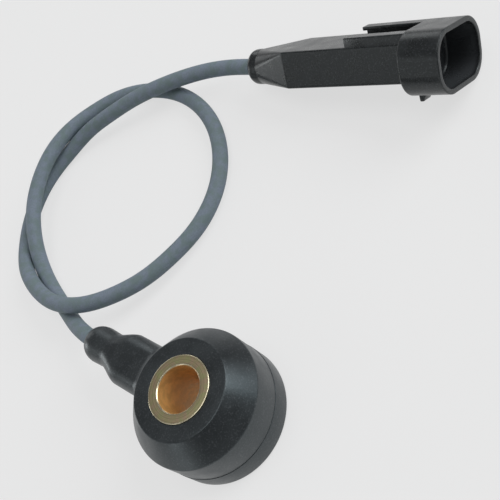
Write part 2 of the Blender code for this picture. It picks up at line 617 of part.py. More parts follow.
def blade_terminal(name, centre, start, tip, mat, parent):
    """A blade with a pointed tip, and the open barrel that grips its wire."""
    half = BLADE_T / 2
    joint = start + BARREL_L - 2 * WEB_OVERLAP
    wide = [(joint, BLADE_W / 2), (tip - BLADE_POINT, BLADE_W / 2), (tip, BLADE_W / 4), (tip, -BLADE_W / 4),
            (tip - BLADE_POINT, -BLADE_W / 2), (joint, -BLADE_W / 2)]
    rings = [[(x, centre + y, z) for x, y in wide] for z in (-half, half)]
    blade = add_object(name, mesh_from_rings(name, rings), mat, parent)
    outer = BARREL_D / 2
    inner = outer - BARREL_WALL
    outline = arc((0, 0), outer, -240, 60, 14) + arc((0, 0), inner, 60, -240, 14)
    rings = [[(x, centre + y, z) for y, z in outline] for x in (start, start + BARREL_GRIP)]
    barrel = add_object(name + "_barrel_form", mesh_from_rings(name + "_barrel_form", rings), None, parent)
    web = box(name + "_web_form", (start + BARREL_GRIP - WEB_OVERLAP, centre - BLADE_W / 2, -outer),
              (joint + WEB_OVERLAP, centre + BLADE_W / 2, half), parent=parent)
    boolean(blade, web, "UNION")
    boolean(blade, barrel, "UNION")
    return blade


def plug_pose():
    """Where the plug lies: its cable end, its heading, its tilt and its roll."""
    exit_y = BORE_Y + NECK_REACH
    end = Vector((PLUG_END[0] * MM, exit_y + PLUG_END[1] * MM, PLUG_END[2] * MM))
    turn = Matrix.Rotation(radians(PLUG_HEADING), 4, "Z")
    tilt = Matrix.Rotation(-radians(PLUG_TILT), 4, "Y")
    roll = Matrix.Rotation(radians(PLUG_ROLL), 4, "X")
    return Matrix.Translation(end) @ turn @ tilt @ roll


def cable(mat, pose):
    """The cable's jacket, from inside the neck along its route to inside the plug."""
    exit_y = BORE_Y + NECK_REACH
    inside_neck = [(0.0, exit_y - JACKET_IN_NECK, NECK_Z), (0.0, exit_y - JACKET_IN_NECK / 2, NECK_Z)]
    route = [(x * MM, exit_y + y * MM, z * MM) for x, y, z in ROUTE]
    route[0] = (0.0, exit_y, NECK_Z)
    in_plug = [tuple(pose @ Vector((x, 0, 0))) for x in (0.0, JACKET_IN_PLUG / 2, JACKET_IN_PLUG)]
    points = smooth_curve(inside_neck + route + in_plug, CABLE_POINTS)
    return tube_curve("cable", points, CABLE_D / 2, mat)


def build():
    """Model the whole sensor in an emptied scene."""
    for obj in list(bpy.data.objects):
        bpy.data.objects.remove(obj, do_unlink=True)
    mats = {
        "housing": material("housing", (0.035, 0.038, 0.045), 0.55),
        "sleeve": material("sleeve", (0.55, 0.47, 0.28), 0.32, 1.0),
        "film": material("film", (0.60, 0.36, 0.10), 0.45),
        "contact": material("contact", (0.62, 0.55, 0.34), 0.30, 1.0),
        "ceramic": material("ceramic", (0.55, 0.54, 0.50), 0.60),
        "steel": material("steel", (0.42, 0.42, 0.43), 0.35, 1.0),
        "cable": material("cable", (0.12, 0.15, 0.18), 0.60),
        "ground": material("ground_wire", (0.05, 0.05, 0.05), 0.50),
        "signal": material("signal_wire", (0.55, 0.55, 0.52), 0.50),
        "plug": material("plug", (0.03, 0.032, 0.036), 0.50),
        "carrier": material("carrier", (0.05, 0.05, 0.055), 0.55),
        "terminal": material("terminal", (0.70, 0.68, 0.62), 0.25, 1.0),
    }
    head_axis = bpy.data.objects.new("head_axis", None)
    head_axis.location = (0.0, BORE_Y, 0.0)
    bpy.context.scene.collection.objects.link(head_axis)
    plug_axis = bpy.data.objects.new("plug_axis", None)
    plug_axis.matrix_world = plug_pose()
    bpy.context.scene.collection.objects.link(plug_axis)
    head_housing(mats["housing"], head_axis)
    sleeve(mats["sleeve"], head_axis)
    head_stack(mats, head_axis)
    neck_wiring(mats, head_axis)
    cable(mats["cable"], plug_pose())
    plug_housing(mats["plug"], plug_axis)
    plug_inside(mats, plug_axis)


build()
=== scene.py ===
"""Looks of an engine knock sensor: a ring-shaped head, its looped cable and the plug on its end.

Lengths are in metres, +Z is up. The head's seat lies on z = 0 and its bore stands along +Z at
y = BORE_Y. The plug is shaped along its own X axis, from its cable end to its mouth, and then
put where in_place says.
"""

from math import pi, radians

import bpy
import numpy as np
from bpy.props import FloatProperty, FloatVectorProperty, PointerProperty
from mathutils import Matrix, Quaternion, Vector


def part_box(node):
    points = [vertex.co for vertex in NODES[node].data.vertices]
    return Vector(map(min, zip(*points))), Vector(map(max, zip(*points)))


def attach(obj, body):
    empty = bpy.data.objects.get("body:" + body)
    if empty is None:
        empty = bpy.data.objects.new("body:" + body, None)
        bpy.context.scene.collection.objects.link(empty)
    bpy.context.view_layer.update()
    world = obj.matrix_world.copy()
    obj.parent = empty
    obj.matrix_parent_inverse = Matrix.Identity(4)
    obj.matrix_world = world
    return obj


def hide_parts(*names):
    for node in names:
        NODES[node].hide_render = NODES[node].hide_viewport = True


bl_info = {
    "name": "Engine knock sensor",
    "version": (1, 0, 0),
    "blender": (4, 5, 0),
    "location": "3D View > Sidebar > Knock sensor",
    "description": "Builds a knock sensor with its cable and plug, and a plain stage for it",
    "category": "Object",
}

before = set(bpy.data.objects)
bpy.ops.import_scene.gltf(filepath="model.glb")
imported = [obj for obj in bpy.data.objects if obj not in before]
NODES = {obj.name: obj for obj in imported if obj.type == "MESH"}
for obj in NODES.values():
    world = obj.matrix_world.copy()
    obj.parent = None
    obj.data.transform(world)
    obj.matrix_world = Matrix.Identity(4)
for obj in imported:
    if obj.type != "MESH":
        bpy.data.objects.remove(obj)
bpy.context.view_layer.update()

MM = 0.001
SLEEVE_LOW, SLEEVE_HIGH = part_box("base_sleeve")
BORE_Y = (SLEEVE_LOW.y + SLEEVE_HIGH.y) / 2  # the bore's axis
EXIT_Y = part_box("sensor_housing")[1].y  # the neck's end, where the cable leaves
GAP = 0.3 * MM  # clearance between neighbouring pieces
CABLE_FIT = 0.3 * MM  # radial, round the cable in its holes
SEAM = 0.05 * MM  # between the sleeve and the face
FINE = 0.06 * MM  # rounding of the sharpest edges

# Cable route from the neck's end, in millimetres: across, away from the head, above the seat
ROUTE = (
    (0.0, 0.0, 8.7), (0.6, 8.0, 6.5), (1.6, 14.8, 3.4), (3.7, 22.0, 2.2), (6.7, 29.6, 2.2),
    (10.9, 35.8, 3.6), (16.1, 40.8, 5.2), (22.3, 45.1, 6.1), (29.3, 47.9, 6.5),
    (36.7, 49.2, 6.3), (44.1, 49.0, 5.0), (50.8, 46.8, 3.4), (56.5, 42.5, 2.5),
    (61.1, 33.7, 2.1), (62.1, 21.7, 2.0), (58.8, 11.2, 2.0), (52.1, 2.7, 2.0),
    (42.4, -2.8, 2.0), (31.6, -3.9, 2.5), (24.1, -2.3, 3.3), (17.1, 0.3, 4.4),
    (10.9, 4.3, 5.8), (5.9, 9.6, 7.0), (3.1, 16.4, 7.4), (3.0, 23.7, 6.7),
    (4.58, 30.94, 5.48), (7.38, 37.64, 3.88), (12.1, 43.2, 2.7), (18.1, 47.4, 2.1),
    (24.9, 49.6, 2.0), (32.0, 49.8, 2.0), (38.92, 47.96, 2.35), (45.32, 44.26, 3.65),
    (50.6, 39.1, 4.9), (55.8, 33.5, 5.8), (60.5, 27.6, 6.2), (65.0, 21.4, 6.0),
    (69.0, 14.6, 5.5), (71.4, 8.0, 5.2),
)
PLUG_END = (72.4, 2.1, 5.6)  # the plug's cable end, as the route's points
PLUG_HEADING = -78.4  # degrees from +X
PLUG_TILT = 4.5  # mouth end up
PLUG_ROLL = -39.5
JACKET_IN_NECK = 12.0 * MM  # cable inside the neck
JACKET_IN_PLUG = 18.5 * MM  # cable inside the plug
POCKET_L = 17.0 * MM  # the mouth's narrow part with the carrier's seat
CHAMBER_L = 8.4 * MM  # room behind the carrier
CHAMBER = (4.0 * MM, 2.2 * MM, 0.6 * MM)  # its half width, half height and corner
NECK_ROOT = 12.2 * MM  # the neck's hidden start in the head's wall, from the bore's axis
NECK_SINK = 1.0 * MM  # how deep the ring before the neck's fillet lies in the head
FILLET_SINK = 0.02 * MM  # how deep the fillet's edge lies there
BLOCK_LEAD = 1.5 * MM  # straight part of the neck's block before it narrows
HOLE_LEAD = 1.0 * MM  # from the neck's end to the cable hole's first ring inside
COLLAR_ROUND = 0.6  # share of the plug's rounded end that is its rounding
SHROUD_EDGE = 0.5 * MM  # rounding of the mouth end's rear edge
LIP_ROUND = 0.2 * MM  # rounding of the mouth's lip
RAIL_SINK = 0.2 * MM  # how far a rail's foot runs below the body's rounded edge
RAIL_ROUND = 0.15 * MM  # rounding of a rail's edges
RAIL_LIP_T = 0.8 * MM  # thickness of a rail's lip
RAIL_LIP_IN = 0.05 * MM  # how far a rail's lip stands in from its wall's outer side
RAIL_LIP_DOWN = 0.01 * MM  # how far it lies below its wall's top
CATCH_BACK = 0.15 * MM  # how far the catch's foot starts behind the mouth end
CATCH_LEAN = 0.2 * MM  # how far the catch's back leans
CATCH_TIP = 1.0 * MM  # from the catch's foot to the far edge of its tip
# The catch's rings: place across it as a share of its width, and size
CATCH_RINGS = ((-0.5, 0.9), (-0.48, 0.97), (-0.44, 1.0), (0.44, 1.0), (0.48, 0.97), (0.5, 0.9))

TURN_STEPS = 192  # points round the head and the sleeve
ARC_STEPS = 5  # points on a profile's rounded corner
CORNER_STEPS = 10  # points on a section's rounded corner
EDGE_SHARES = (0.05, 0.5, 0.95)  # points on a section's straight side
END_RING = 0.001  # size of a closed end's last ring, against the ring before it
FILLET_RINGS = 9
BLOCK_RINGS = 15
DOME_RINGS = 14
COLLAR_RINGS = 12
CONE_RINGS = 26
EDGE_RINGS = 7
CABLE_RINGS = 760
CABLE_SIDES = 48

WHITE = (1.0, 1.0, 1.0)
# Soft lamps: name, direction from the object, width over distance, brightness, colour
LAMPS = (
    ("top_softbox", (0.0, 0.0, 1.0), 0.6, 1.95, WHITE),
    ("right_softbox", (0.70, -0.40, 0.60), 0.6, 4.4, (0.98, 0.99, 1.0)),
    ("right_low_softbox", (0.75, -0.63, 0.21), 0.45, 1.45, (0.88, 0.96, 1.0)),
    ("back_softbox", (0.656, 0.656, 0.375), 0.4, 1.5, WHITE),
    ("back_low_softbox", (-0.495, 0.857, 0.139), 0.32, 3.5, WHITE),
    ("back_middle_softbox", (0.085, 0.974, 0.21), 0.4, 0.95, WHITE),
    ("left_low_softbox", (-0.99, -0.02, 0.14), 0.32, 1.8, WHITE),
    ("left_fill", (-0.75, 0.36, 0.45), 0.5, 0.65, WHITE),
)
LAMP_DISTANCE = 1.5
LAMP_MIDDLE = (0.035, 0.02, 0.01)  # the point that the lamps face
FLOOR_SIDE = 12.0
SENSOR_WIDTH = 36.0  # the camera's, in millimetres
CLIP_START = 0.005
SKY_COLOUR = (0.97, 0.985, 1.0)
BARE_EDGE_HIGHLIGHT = (0.80, 0.72, 0.52)  # the sleeve's bare edges: bare metal and a painted highlight
RIM_EDGE = 0.21 * MM  # reach of its bright edge, a painted highlight, inside the rim
BORE_EDGE = 0.30 * MM  # reach of its bright edge, a painted highlight, round the bore
WALL_EDGE = 0.05 * MM  # how far the worn wall reaches past the bore
FADE = 0.03 * MM  # half the width over which one look runs into the next


def size(name, description, millimetres):
    """A size, with its default in millimetres."""
    return FloatProperty(name=name, description=description, default=millimetres * MM, unit="LENGTH")


def colour(name, description, rgb):
    """A colour, in linear red, green and blue."""
    return FloatVectorProperty(name=name, description=description, default=rgb, size=3,
                               min=0.0, max=1.0, subtype="COLOR")


def place(name, description, millimetres):
    """A point, with its default in millimetres."""
    return FloatVectorProperty(name=name, description=description, size=3, subtype="TRANSLATION",
                               default=[value * MM for value in millimetres], unit="LENGTH", precision=5)


class KNOCK_PG_head(bpy.types.PropertyGroup):
    """Sizes of the head, its neck and its sleeve."""
    band_d: size("Band diameter", "Lower band of the head, below the parting step", 28.0)
    waist_d: size("Waist diameter", "Head above the parting step", 27.84)
    face_d: size("Face diameter", "Flat front face", 20.16)
    face_z: size("Face height", "Front face above the seat", 17.3)
    shoulder_h: size("Shoulder height", "Height of the sloping shoulder", 5.2)
    face_round: size("Face edge", "Rounding of the face's edge", 0.4)
    shoulder_round: size("Shoulder edge", "Rounding below the shoulder", 0.7)
    step_z: size("Parting step", "Height of the parting step above the seat", 5.3)
    groove: size("Groove", "Depth of the groove at the parting step", 0.06)
    foot_round: size("Foot edge", "Rounding at the seat", 0.7)
    sleeve_d: size("Sleeve diameter", "Metal sleeve round the bore", 13.4)
    bore_d: size("Bore diameter", "Clearance bore for the bolt", 9.2)
    bore_chamfer: size("Bore chamfer", "Chamfer at both ends of the bore", 0.2)
    flange_d: size("Flange diameter", "Flange of the sleeve on the seat", 22.96)
    flange_t: size("Flange thickness", "Thickness of the flange", 2.5)
    neck_z: size("Neck height", "Axis of the neck above the seat", 8.7)
    block_w: size("Neck width", "Width of the neck's block", 11.3)
    block_h: size("Neck depth", "Depth of the neck's block", 8.2)
    block_corner: size("Neck corner", "Rounding of the block's corners", 3.6)
    block_end: size("Block end", "Where the block ends, from the bore's axis", 21.5)
    boot_start: size("Boot start", "Where the round boot starts, from the bore's axis", 26.8)
    boot_waist: size("Boot waist", "Radius where the block runs into the boot", 3.85)
    boot_r: size("Boot radius", "Radius of the round boot", 4.0)
    boot_dome: size("Boot dome", "Length of the boot's rounded end", 3.4)
    root_fillet: size("Root fillet", "Fillet between the neck and the head", 1.6)


class KNOCK_PG_cable(bpy.types.PropertyGroup):
    """Size of the cable."""
    diameter: size("Diameter", "Outside of the jacket", 3.7)


class KNOCK_PG_plug(bpy.types.PropertyGroup):
    """Sizes of the plug."""
    total: size("Length", "From the cable end to the rim of the mouth", 51.6)
    collar_r: size("Collar radius", "Rounded end round the cable", 4.0)
    collar_l: size("Collar length", "Length of the rounded end", 2.4)
    stem_r: size("Stem radius", "The cone towards the body starts at this radius", 3.95)
    stem_end: size("Stem end", "Where the cone starts", 2.6)
    body_start: size("Body start", "Where the body has its full size", 12.7)
    body_w: size("Body width", "Width of the body", 12.1)
    body_h: size("Body height", "Height of the body", 8.18)
    body_corner: size("Body corner", "Rounding of the body's edges", 0.4)
    body_lift: size("Body lift", "How far the body's middle lies above the plug's axis", 0.27)
    shroud_l: size("Shroud length", "Length of the wide mouth end", 9.0)
    shroud_w: size("Shroud width", "Width of the mouth end", 18.7)
    shroud_h: size("Shroud height", "Height of the mouth end", 13.1)
    shroud_corner: size("Shroud corner", "Rounding of the mouth end's corners", 5.4)
    shroud_wall: size("Shroud wall", "Wall round the mouth", 1.1)
    shroud_floor: size("Mouth floor", "Wall behind the wide part of the mouth", 1.6)
    pocket_w: size("Pocket width", "Narrow part of the mouth", 9.4)
    pocket_h: size("Pocket height", "Narrow part of the mouth", 5.4)
    pocket_corner: size("Pocket corner", "Rounding of the pocket's corners", 1.2)
    rail_l: size("Rail length", "Rails on the upper side, behind the mouth end", 13.6)
    rail_out: size("Rail side", "Outer side of a rail from the plug's axis", 5.9)
    rail_wall: size("Rail wall", "Thickness of a rail's wall", 1.3)
    rail_top: size("Rail top", "Top of a rail above the plug's axis", 6.3)
    rail_lip: size("Rail lip", "Edge of a rail's lip from the plug's axis", 3.2)
    far_rail_l: size("Far rail length", "The rail on the far side is longer", 14.3)
    rail_hook: size("Rail hook", "How far the far rail's lip runs past its wall", 0.1)
    catch_w: size("Catch width", "Catch on the lower side of the mouth end", 3.0)
    catch_y: size("Catch middle", "Middle of the catch from the plug's axis", -1.0)
    catch_h: size("Catch height", "Height of the catch above the mouth end", 2.0)
    catch_l: size("Catch length", "Length of the catch", 2.3)


class KNOCK_PG_finish(bpy.types.PropertyGroup):
    """Colours of the finishes."""
    housing: colour("Housing plastic", "Moulded plastic of the head", (0.0130, 0.0132, 0.0142))
    plug: colour("Plug plastic", "Moulded plastic of the plug", (0.0125, 0.0135, 0.0145))
    cable: colour("Cable jacket", "Blue-grey jacket", (0.183, 0.227, 0.260))
    sleeve: colour("Sleeve", "Yellow passivated metal", (0.46, 0.39, 0.24))
    sleeve_rosy: colour("Sleeve, rosy", "Its rosy patches", (0.52, 0.39, 0.26))
    sleeve_green: colour("Sleeve, green", "Its greenish patches", (0.40, 0.39, 0.20))
    bore: colour("Bore", "Worn metal inside the bore", (0.67, 0.385, 0.13))
    film: colour("Insulating film", "Amber film", (0.60, 0.36, 0.10))
    contact: colour("Contact metal", "Brass sheet", (0.62, 0.52, 0.30))
    ceramic: colour("Ceramic", "Fired ceramic", (0.55, 0.54, 0.50))
    steel: colour("Steel", "Turned steel", (0.42, 0.42, 0.43))
    ground: colour("Ground wire", "Dark insulation", (0.03, 0.03, 0.03))
    signal: colour("Signal wire", "Pale insulation", (0.55, 0.55, 0.52))
    terminal: colour("Terminals", "Tin plated blades", (0.66, 0.64, 0.58))


class KNOCK_PG_stage(bpy.types.PropertyGroup):
    """Floor, light and camera."""
    floor: colour("Floor", "Pale floor", (0.84, 0.84, 0.84))
    camera_at: place("Camera", "Where the camera stands", (2.3, -114.5, 149.1))
    camera_aim: place("Aim", "Point of the floor in the picture's middle", (32.87, 5.42, 0.0))
    camera_roll: FloatProperty(name="Roll", description="Turn of the camera about its view",
                               default=radians(49.64), subtype="ANGLE")
    lens: FloatProperty(name="Lens", description="Focal length in millimetres", default=64.8)
    sky: FloatProperty(name="Sky", description="Strength of the even light", default=0.22)
    even: FloatProperty(name="Even floor", description="Share of the floor shown in its plain colour",
                        default=0.78, subtype="FACTOR")


def new_material(name):
    """A new material, with its node tree and its shader."""
    mat = bpy.data.materials.new(name)
    mat.use_nodes = True
    return mat, mat.node_tree, mat.node_tree.nodes["Principled BSDF"]


def linked(name, data):
    """A new object in the scene."""
    obj = bpy.data.objects.new(name, data)
    bpy.context.scene.collection.objects.link(obj)
    return obj


def fill(tree, node, inputs):
    """Fill a node's inputs by value, or link them from a socket."""
    for key, value in inputs.items():
        if isinstance(value, bpy.types.NodeSocket):
            tree.links.new(value, node.inputs[key])
        else:
            node.inputs[key].default_value = value


def add_node(tree, kind, inputs=None, **settings):
    """A node with its settings and its inputs."""
    node = tree.nodes.new(kind)
    for key, value in settings.items():
        setattr(node, key, value)
    fill(tree, node, inputs or {})
    return node


def coordinates(tree, kind="Object"):
    """Texture coordinates of one kind."""
    return add_node(tree, "ShaderNodeTexCoord").outputs[kind]


def mapped(tree, where, **inputs):
    """Coordinates moved or stretched."""
    return add_node(tree, "ShaderNodeMapping", {"Vector": where, **inputs}).outputs[0]


def math_node(tree, operation, *values):
    """The result of a Math node."""
    return add_node(tree, "ShaderNodeMath", dict(enumerate(values)), operation=operation).outputs[0]


def ranged(tree, value, low, high, to_low=0.0, to_high=1.0):
    """A value moved from one range to another and held there."""
    inputs = {"Value": value, "From Min": low, "From Max": high, "To Min": to_low, "To Max": to_high}
    return add_node(tree, "ShaderNodeMapRange", inputs).outputs[0]


def mixed(tree, share, first, second):
    """A colour between two colours. The Mix node's sockets for colours are its seventh and eighth."""
    inputs = {0: share}
    for socket, value in ((6, first), (7, second)):
        inputs[socket] = value if isinstance(value, bpy.types.NodeSocket) else (*value, 1.0)
    return add_node(tree, "ShaderNodeMix", inputs, data_type="RGBA").outputs[2]


def noise(tree, where, scale, detail):
    """A noise value with grains of about one part in scale of a metre."""
    inputs = {"Vector": where, "Scale": scale, "Detail": detail}
    return add_node(tree, "ShaderNodeTexNoise", inputs).outputs["Fac"]


def scaled(rgb, factor):
    """A colour made lighter or darker."""
    return tuple(min(1.0, channel * factor) for channel in rgb)


def bump(tree, height, depth, strength, under=None):
    """A normal pushed in and out by a height between 0 and 1, as deep as said."""
    inputs = {"Height": height, "Distance": depth, "Strength": strength}
    if under is not None:
        inputs["Normal"] = under
    return add_node(tree, "ShaderNodeBump", inputs).outputs[0]


def moulded_plastic(name, rgb, roughness, gloss, shine=0.5):
    """Dark moulded plastic: fine spark-eroded grain, glass specks and slow patches of gloss. Where
    the mesh's attribute says inside, the colour is lighter and has no specks: painted light that
    lifts the recess, which the lamps leave dark."""
    mat, tree, shader = new_material(name)
    where = coordinates(tree)
    patches = noise(tree, where, 260.0, 3.0)
    specks = ranged(tree, noise(tree, where, 3000.0, 1.0), 0.54, 0.72)
    tone = ranged(tree, patches, 0.35, 0.65)
    base = mixed(tree, tone, scaled(rgb, 0.8), scaled(rgb, 1.15))
    base = mixed(tree, specks, base, scaled(rgb, 3.2))
    inside = add_node(tree, "ShaderNodeAttribute", attribute_name="inside").outputs["Fac"]
    fine = noise(tree, where, 2600.0, 3.0)
    wide = noise(tree, where, 700.0, 2.0)
    fill(tree, shader, {
        # painted light: a lighter colour inside the mouth's recess
        "Base Color": mixed(tree, inside, base, scaled(rgb, 4.0)),
        "Roughness": ranged(tree, patches, 0.3, 0.7, roughness - 0.05, roughness + 0.07),
        "Normal": bump(tree, fine, 0.03 * MM, 0.55, bump(tree, wide, 0.03 * MM, 0.25)),
        "Specular IOR Level": shine,
        "Specular Tint": (*gloss, 1.0),
    })
    return mat


def jacket(name, rgb):
    """Extruded cable jacket: matte, mottled between a greener and a bluer tone, with fine lines along
    the run (UV u is the run)."""
    mat, tree, shader = new_material(name)
    where = coordinates(tree)
    mottle = noise(tree, where, 480.0, 3.0)
    grain = noise(tree, where, 2800.0, 2.0)
    lines = noise(tree, mapped(tree, coordinates(tree, "UV"), Scale=(60.0, 1.0, 1.0)), 34.0, 2.0)
    tone = ranged(tree, mottle, 0.38, 0.62)
    red, green, blue = rgb
    greener = (0.88 * red, 0.94 * green, 0.84 * blue)
    bluer = (1.10 * red, 1.06 * green, 1.14 * blue)
    fleck = ranged(tree, grain, 0.4, 0.7, 0.0, 0.5)
    fill(tree, shader, {
        "Base Color": mixed(tree, fleck, mixed(tree, tone, greener, bluer), scaled(rgb, 0.78)),
        "Roughness": ranged(tree, mottle, 0.3, 0.7, 0.62, 0.74),
        "Normal": bump(tree, grain, 0.02 * MM, 0.4, bump(tree, lines, 0.02 * MM, 0.2)),
        "Specular IOR Level": 0.3,
    })
    return mat


def turned_metal(name, rgb, roughness, shades=None, worn=None, radii=(0.0, 0.0)):
    """Turned metal: ring marks about the bore's axis and patches between two shades. With a worn
    colour, the wall inside the first radius is worn and duller, and the edges next to both radii
    are bright: bare metal, and a painted highlight of lighter colour."""
    mat, tree, shader = new_material(name)
    where = coordinates(tree)
    centred = mapped(tree, where, Location=(0.0, -BORE_Y, 0.0))
    x, y, z = add_node(tree, "ShaderNodeSeparateXYZ", {"Vector": centred}).outputs
    squares = math_node(tree, "ADD", math_node(tree, "POWER", x, 2.0), math_node(tree, "POWER", y, 2.0))
    radius = math_node(tree, "SQRT", squares)
    across = math_node(tree, "ADD", radius, z)
    turns = math_node(tree, "MULTIPLY", squares, 0.5)
    strip = add_node(tree, "ShaderNodeCombineXYZ", {"X": across, "Y": turns})
    rings = noise(tree, strip.outputs[0], 4600.0, 2.0)
    tarnish = noise(tree, where, 800.0, 4.0)
    tone = ranged(tree, tarnish, 0.40, 0.60)
    first, second = shades or (scaled(rgb, 0.84), scaled(rgb, 1.12))
    base = mixed(tree, tone, first, second)
    lines = ranged(tree, rings, 0.42, 0.60, 0.0, 0.6)
    base = mixed(tree, lines, base, scaled(rgb, 0.55))
    rough = ranged(tree, tarnish, 0.3, 0.7, roughness - 0.05, roughness + 0.1)
    metallic = 1.0
    if worn:
        def at_radius(middle, inner, outer):
            """One value inside a radius and another outside it."""
            return ranged(tree, radius, middle - FADE, middle + FADE, inner, outer)

        bore_r, rim_r = radii
        by_rim = at_radius(rim_r - RIM_EDGE, 0.0, 1.0)
        by_bore = at_radius(bore_r + BORE_EDGE, 1.0, 0.0)
        edge = math_node(tree, "MAXIMUM", by_rim, by_bore)
        # painted highlight: a lighter colour along both edges, together with the bare metal's
        base = mixed(tree, edge, base, BARE_EDGE_HIGHLIGHT)
        outside = at_radius(bore_r + WALL_EDGE, 0.0, 1.0)
        wall = mixed(tree, tone, scaled(worn, 0.88), scaled(worn, 1.12))
        base = mixed(tree, outside, wall, base)
        edge = math_node(tree, "MULTIPLY", edge, outside)
        smoother = math_node(tree, "MULTIPLY", edge, roughness - 0.22)
        rough = math_node(tree, "SUBTRACT", rough, smoother)
        metallic = ranged(tree, outside, 0.0, 1.0, 0.25, 1.0)
    normal = bump(tree, rings, 0.012 * MM, 0.6)
    fill(tree, shader, {"Base Color": base, "Roughness": rough, "Normal": normal, "Metallic": metallic})
    return mat


def stamped_metal(name, rgb, roughness):
    """Rolled sheet: fine rolling marks and a little tarnish."""
    mat, tree, shader = new_material(name)
    where = coordinates(tree)
    marks = noise(tree, mapped(tree, where, Scale=(1.0, 0.12, 1.0)), 5200.0, 2.0)
    tone = ranged(tree, noise(tree, where, 900.0, 3.0), 0.35, 0.65)
    fill(tree, shader, {
        "Base Color": mixed(tree, tone, scaled(rgb, 0.85), scaled(rgb, 1.08)),
        "Roughness": ranged(tree, marks, 0.3, 0.7, roughness - 0.05, roughness + 0.08),
        "Normal": bump(tree, marks, 0.008 * MM, 0.5),
        "Metallic": 1.0,
    })
    return mat


def plain_solid(name, rgb, roughness, scale):
    """A fired or extruded solid: small grains of tone and height."""
    mat, tree, shader = new_material(name)
    grain = noise(tree, coordinates(tree), scale, 3.0)
    tone = ranged(tree, grain, 0.35, 0.65)
    fill(tree, shader, {
        "Base Color": mixed(tree, tone, scaled(rgb, 0.88), scaled(rgb, 1.08)),
        "Roughness": roughness,
        "Normal": bump(tree, grain, 0.015 * MM, 0.4),
    })
    return mat


def stacked(*columns):
    """Columns, spread to one shape, as the coordinates of points."""
    return np.stack(np.broadcast_arrays(*columns), axis=-1)


def outward(points, quads):
    """Quads turned so that they point out of a closed surface, whose signed volume is then positive."""
    a, b, c, d = points[quads.T]
    volume = (a * (np.cross(b, c) + np.cross(c, d))).sum()
    return quads if volume > 0 else quads[:, ::-1]


def lofted(grid, closed=False):
    """Points and quads of a grid, rings by points round. Point j of ring i joins point j + 1 of the
    same ring and point j of ring i + 1. A closed grid joins its last ring to its first; an open one
    has its end rings drawn in to their middles."""
    if not closed:
        ends = grid[[0, -1]]
        middles = ends.mean(axis=1, keepdims=True)
        first, last = middles + (ends - middles) * END_RING
        grid = np.concatenate((first[None], grid, last[None]))
    rings, around = grid.shape[:2]
    index = np.arange(rings * around).reshape(rings, around)
    beside = np.roll(index, -1, axis=1)
    quads = np.stack((index, beside, np.roll(beside, -1, axis=0), np.roll(index, -1, axis=0)), axis=-1)
    if not closed:
        quads = quads[:-1]
    points = grid.reshape(-1, 3)
    return points, outward(points, quads.reshape(-1, 4))


def capped(grid):
    """An open loft's shell: its quads, and its two small end rings as one face each."""
    points, quads = lofted(grid)
    ring = np.arange(grid.shape[1])
    ends = np.stack((ring[::-1], ring + len(points) - len(ring)))
    if quads[0, 1] != quads[0, 0] + 1:
        ends = ends[:, ::-1]
    return points, [quads, ends]


def piece(name, shells, mat, replaces, smooth=35.0):
    """One object of several closed shells, smooth but for edges sharper than said. A shell is its
    points and its faces, in blocks of faces with the same number of corners."""
    points, faces, start = [], [], 0
    for shell_points, blocks in shells:
        points.append(shell_points)
        for block in blocks:
            faces += (block + start).tolist()
        start += len(shell_points)
    mesh = bpy.data.meshes.new(name)
    mesh.from_pydata(np.concatenate(points).tolist(), [], faces)
    mesh.materials.append(mat)
    mesh.shade_smooth()
    mesh.set_sharp_from_angle(angle=radians(smooth))
    obj = linked(name, mesh)
    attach(obj, "root")
    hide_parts(*replaces)
    return obj


def unit(vectors):
    """Vectors made one long."""
    return vectors / np.linalg.norm(vectors, axis=1)[:, None]


def run_along(points):
    """How far along a line each of its points lies."""
    return np.r_[0.0, np.cumsum(np.linalg.norm(np.diff(points, axis=0), axis=1))]


def whole_numbers(items, name):
    """The whole number of that name of each item of a mesh."""
    values = np.empty(len(items), np.int64)
    items.foreach_get(name, values)
    return values


def rounded_profile(corners):
    """A closed outline with round corners. Each corner is (x, y, radius). Between the two points
    where a circle of that radius touches the corner's sides, the outline runs round the circle:
    centre plus the two spokes weighted by sin((1 - s) w) / sin w and sin(s w) / sin w."""
    corners = np.array(corners, float)
    at, radius = corners[:, :2], corners[:, 2]
    back = unit(np.roll(at, 1, axis=0) - at)
    ahead = unit(np.roll(at, -1, axis=0) - at)
    half = np.arccos(np.clip((back * ahead).sum(axis=1), -1.0, 1.0)) / 2
    inset = radius / np.tan(half)
    centre = at + unit(back + ahead) * (radius / np.sin(half))[:, None]
    first = at + back * inset[:, None] - centre
    last = at + ahead * inset[:, None] - centre
    turn = (pi - 2 * half)[:, None]
    s = np.linspace(0.0, 1.0, ARC_STEPS)[None, :]
    weights = np.sin((1 - s) * turn) / np.sin(turn), np.sin(s * turn) / np.sin(turn)
    arcs = centre[:, None] + first[:, None] * weights[0][..., None] + last[:, None] * weights[1][..., None]
    return arcs.reshape(-1, 2)


def spun(profile):
    """A closed (radius, height) profile turned about the bore: x = r cos t, y = bore + r sin t and
    z = height."""
    t = np.linspace(0.0, 2 * pi, TURN_STEPS, endpoint=False)[:, None]
    r, z = profile.T
    points, quads = lofted(stacked(r * np.cos(t), BORE_Y + r * np.sin(t), z), closed=True)
    return points, [quads]


